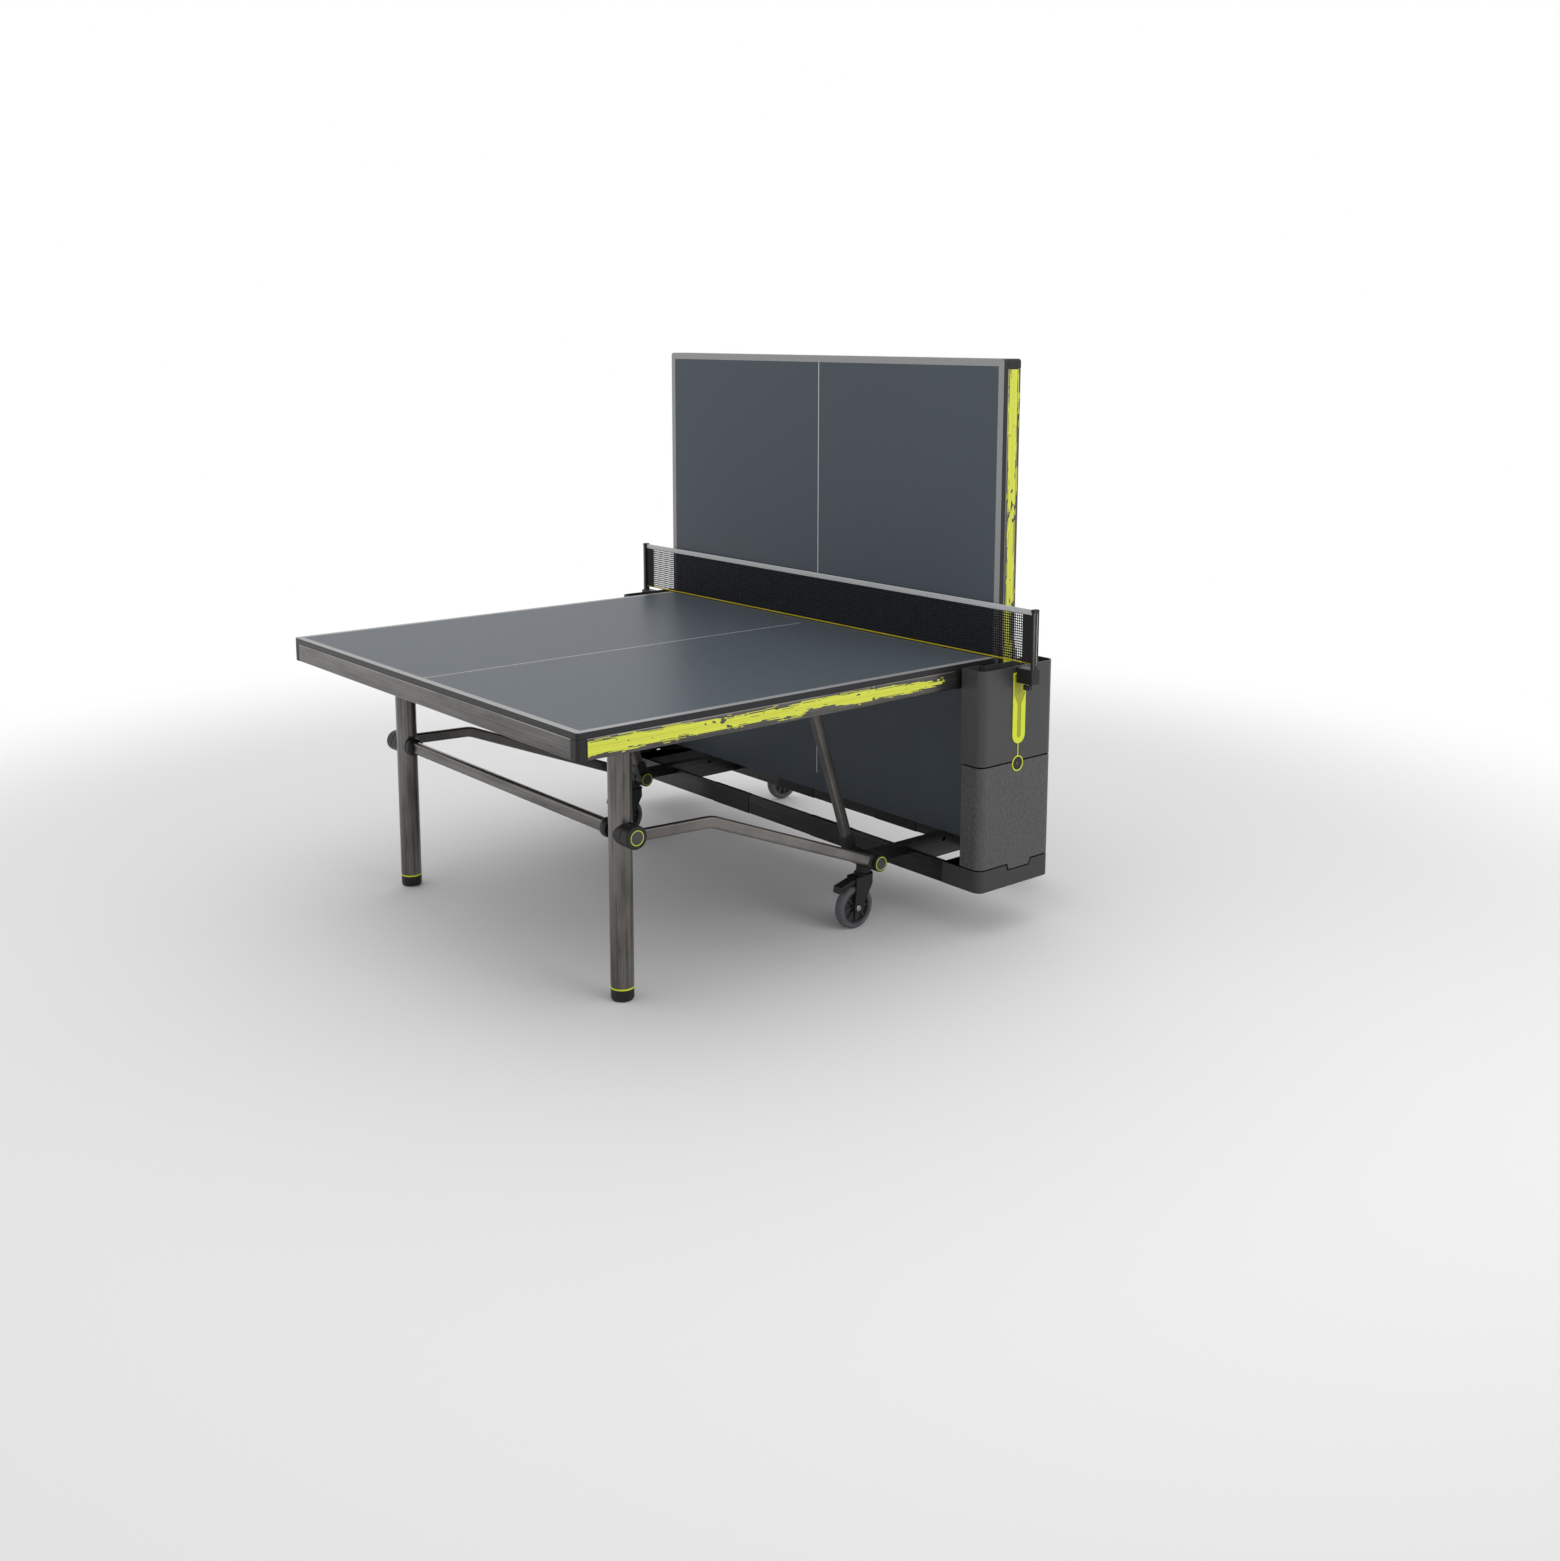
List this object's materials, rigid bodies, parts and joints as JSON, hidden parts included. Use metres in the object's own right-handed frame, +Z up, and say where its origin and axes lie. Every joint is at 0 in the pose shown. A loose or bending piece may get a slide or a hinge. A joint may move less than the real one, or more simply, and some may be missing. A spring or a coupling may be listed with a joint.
{
  "type": "folding ping pong table",
  "caption": "Rollaway ping pong table with two halves that fold up on a wheeled base, net, swing-out legs and a storage locker at each net post",
  "frame": {"origin": "on the floor, under the middle of the whole table's box at rest", "axes": "+Z up, X along the table with the folded half on the +X side, Y across the table along the net"},
  "size_m": [1.7735, 1.83, 1.581],
  "materials": {
    "playing_surface": "matte slate lacquer",
    "raw_steel": "raw steel under clear lacquer",
    "black_plastic": "fine-grained black",
    "grey_plastic": "dark grey, pebbled",
    "tyre_rubber": "grey rubber",
    "net_mesh": "black knotted mesh",
    "net_tape": "white woven tape"
  },
  "bodies": {
    "root": {"base_bar_front": "raw_steel", "base_bar_rear": "raw_steel", "pivot_beam_left": "black_plastic", "base_tray_left": "black_plastic", "guide_column_left": "black_plastic", "locker_lower_left": "grey_plastic", "locker_bin_left": "grey_plastic", "net_post_left": "black_plastic", "pivot_beam_right": "black_plastic", "base_tray_right": "black_plastic", "guide_column_right": "black_plastic", "locker_lower_right": "grey_plastic", "locker_bin_right": "grey_plastic", "net_post_right": "black_plastic", "net_cloth": "net_mesh", "net_top_tape": "net_tape"},
    "carriage_a": {"guide_carriage_a_left": "black_plastic", "guide_carriage_a_right": "black_plastic"},
    "half_a": {"top_panel_a": "playing_surface", "apron_frame_a": "raw_steel", "corner_piece_a_left": "black_plastic", "corner_piece_a_right": "black_plastic"},
    "legs_a": {"leg_a_left": "raw_steel", "leg_a_right": "raw_steel", "crossbar_a": "raw_steel"},
    "foot_a_left": {"foot_a_left": "black_plastic"},
    "foot_a_right": {"foot_a_right": "black_plastic"},
    "links_a": {"link_a_left": "raw_steel", "link_a_right": "raw_steel"},
    "struts_a": {"strut_a_left": "raw_steel", "strut_a_right": "raw_steel"},
    "carriage_b": {"guide_carriage_b_left": "black_plastic", "guide_carriage_b_right": "black_plastic"},
    "half_b": {"top_panel_b": "playing_surface", "apron_frame_b": "raw_steel", "corner_piece_b_left": "black_plastic", "corner_piece_b_right": "black_plastic"},
    "legs_b": {"leg_b_left": "raw_steel", "leg_b_right": "raw_steel", "crossbar_b": "raw_steel"},
    "foot_b_left": {"foot_b_left": "black_plastic"},
    "foot_b_right": {"foot_b_right": "black_plastic"},
    "links_b": {"link_b_left": "raw_steel", "link_b_right": "raw_steel"},
    "struts_b": {"strut_b_left": "raw_steel", "strut_b_right": "raw_steel"},
    "swivel_front_left": {"caster_fork_front_left": "black_plastic"},
    "wheel_front_left": {"caster_wheel_front_left": "tyre_rubber"},
    "brake_front_left": {"brake_pedal_front_left": "black_plastic"},
    "swivel_front_right": {"caster_fork_front_right": "black_plastic"},
    "wheel_front_right": {"caster_wheel_front_right": "tyre_rubber"},
    "brake_front_right": {"brake_pedal_front_right": "black_plastic"},
    "swivel_rear_left": {"caster_fork_rear_left": "black_plastic"},
    "wheel_rear_left": {"caster_wheel_rear_left": "tyre_rubber"},
    "brake_rear_left": {"brake_pedal_rear_left": "black_plastic"},
    "swivel_rear_right": {"caster_fork_rear_right": "black_plastic"},
    "wheel_rear_right": {"caster_wheel_rear_right": "tyre_rubber"},
    "brake_rear_right": {"brake_pedal_rear_right": "black_plastic"},
    "knob_left": {"clamp_knob_left": "black_plastic"},
    "knob_right": {"clamp_knob_right": "black_plastic"}
  },
  "joints": [
    {"name": "carriage_a_slide", "type": "slide", "parent": "root", "child": "carriage_a", "axis": [0, 0, -1], "range_m": [0, 0.4685]},
    {"name": "half_a_fold", "type": "hinge", "parent": "carriage_a", "child": "half_a", "pos_m": [0.43775, 0, 0.726], "axis": [0, 1, 0], "range_deg": [0, 90]},
    {"name": "legs_a_fold", "type": "hinge", "parent": "half_a", "child": "legs_a", "pos_m": [-0.60178, 0, 0.715], "axis": [0, -1, 0], "range_deg": [0, 73.45]},
    {"name": "links_a_swing", "type": "hinge", "parent": "root", "child": "links_a", "pos_m": [0.18125, 0, 0.197], "axis": [0, 1, 0], "range_deg": [0, 82.71]},
    {"name": "struts_a_swing", "type": "hinge", "parent": "half_a", "child": "struts_a", "pos_m": [0.01159, 0, 0.715], "axis": [0, -1, 0], "range_deg": [0, 45.1]},
    {"name": "foot_a_left_screw", "type": "slide", "parent": "legs_a", "child": "foot_a_left", "axis": [0, 0, -1], "range_m": [0, 0.012]},
    {"name": "foot_a_right_screw", "type": "slide", "parent": "legs_a", "child": "foot_a_right", "axis": [0, 0, -1], "range_m": [0, 0.012]},
    {"name": "carriage_b_slide", "type": "slide", "parent": "root", "child": "carriage_b", "axis": [0, 0, 1], "range_m": [0, 0.4685]},
    {"name": "half_b_unfold", "type": "hinge", "parent": "carriage_b", "child": "half_b", "pos_m": [0.53075, 0, 0.2575], "axis": [0, 1, 0], "range_deg": [0, 90]},
    {"name": "legs_b_fold", "type": "hinge", "parent": "half_b", "child": "legs_b", "pos_m": [0.54175, 0, 1.29703], "axis": [0, -1, 0], "range_deg": [0, 73.45]},
    {"name": "links_b_swing", "type": "hinge", "parent": "root", "child": "links_b", "pos_m": [0.78725, 0, 0.197], "axis": [0, 1, 0], "range_deg": [0, 82.71]},
    {"name": "struts_b_swing", "type": "hinge", "parent": "half_b", "child": "struts_b", "pos_m": [0.54175, 0, 0.68366], "axis": [0, -1, 0], "range_deg": [0, 45.1]},
    {"name": "foot_b_left_screw", "type": "slide", "parent": "legs_b", "child": "foot_b_left", "axis": [0.2849, 0, -0.9586], "range_m": [0, 0.012]},
    {"name": "foot_b_right_screw", "type": "slide", "parent": "legs_b", "child": "foot_b_right", "axis": [0.2849, 0, -0.9586], "range_m": [0, 0.012]},
    {"name": "swivel_front_left_turn", "type": "hinge", "parent": "root", "child": "swivel_front_left", "pos_m": [0.18125, 0.562, 0.155], "axis": [0, 0, 1], "continuous": true},
    {"name": "wheel_front_left_spin", "type": "hinge", "parent": "swivel_front_left", "child": "wheel_front_left", "pos_m": [0.14525, 0.562, 0.0625], "axis": [0, 1, 0], "continuous": true},
    {"name": "brake_front_left_press", "type": "hinge", "parent": "swivel_front_left", "child": "brake_front_left", "pos_m": [0.14625, 0.562, 0.14], "axis": [0, -1, 0], "range_deg": [0, 12]},
    {"name": "swivel_front_right_turn", "type": "hinge", "parent": "root", "child": "swivel_front_right", "pos_m": [0.18125, -0.562, 0.155], "axis": [0, 0, 1], "continuous": true},
    {"name": "wheel_front_right_spin", "type": "hinge", "parent": "swivel_front_right", "child": "wheel_front_right", "pos_m": [0.14525, -0.562, 0.0625], "axis": [0, 1, 0], "continuous": true},
    {"name": "brake_front_right_press", "type": "hinge", "parent": "swivel_front_right", "child": "brake_front_right", "pos_m": [0.14625, -0.562, 0.14], "axis": [0, -1, 0], "range_deg": [0, 12]},
    {"name": "swivel_rear_left_turn", "type": "hinge", "parent": "root", "child": "swivel_rear_left", "pos_m": [0.78725, 0.562, 0.155], "axis": [0, 0, 1], "continuous": true},
    {"name": "wheel_rear_left_spin", "type": "hinge", "parent": "swivel_rear_left", "child": "wheel_rear_left", "pos_m": [0.82325, 0.562, 0.0625], "axis": [0, 1, 0], "continuous": true},
    {"name": "brake_rear_left_press", "type": "hinge", "parent": "swivel_rear_left", "child": "brake_rear_left", "pos_m": [0.82225, 0.562, 0.14], "axis": [0, 1, 0], "range_deg": [0, 12]},
    {"name": "swivel_rear_right_turn", "type": "hinge", "parent": "root", "child": "swivel_rear_right", "pos_m": [0.78725, -0.562, 0.155], "axis": [0, 0, 1], "continuous": true},
    {"name": "wheel_rear_right_spin", "type": "hinge", "parent": "swivel_rear_right", "child": "wheel_rear_right", "pos_m": [0.82325, -0.562, 0.0625], "axis": [0, 1, 0], "continuous": true},
    {"name": "brake_rear_right_press", "type": "hinge", "parent": "swivel_rear_right", "child": "brake_rear_right", "pos_m": [0.82225, -0.562, 0.14], "axis": [0, 1, 0], "range_deg": [0, 12]},
    {"name": "knob_left_turn", "type": "hinge", "parent": "root", "child": "knob_left", "pos_m": [0.48425, 0.886, 0.69], "axis": [0, 0, 1], "continuous": true},
    {"name": "knob_right_turn", "type": "hinge", "parent": "root", "child": "knob_right", "pos_m": [0.48425, -0.886, 0.69], "axis": [0, 0, 1], "continuous": true}
  ],
  "couplings": [
    {"joint": "carriage_a_slide", "follows": "half_a_fold", "m_per_rad": 0.29826},
    {"joint": "legs_a_fold", "follows": "half_a_fold", "ratio": 0.81608},
    {"joint": "links_a_swing", "follows": "half_a_fold", "ratio": 0.91895},
    {"joint": "struts_a_swing", "follows": "half_a_fold", "ratio": 0.50106},
    {"joint": "carriage_b_slide", "follows": "half_b_unfold", "m_per_rad": 0.29826},
    {"joint": "legs_b_fold", "follows": "half_b_unfold", "ratio": 0.81608},
    {"joint": "links_b_swing", "follows": "half_b_unfold", "ratio": 0.91895},
    {"joint": "struts_b_swing", "follows": "half_b_unfold", "ratio": 0.50106}
  ]
}
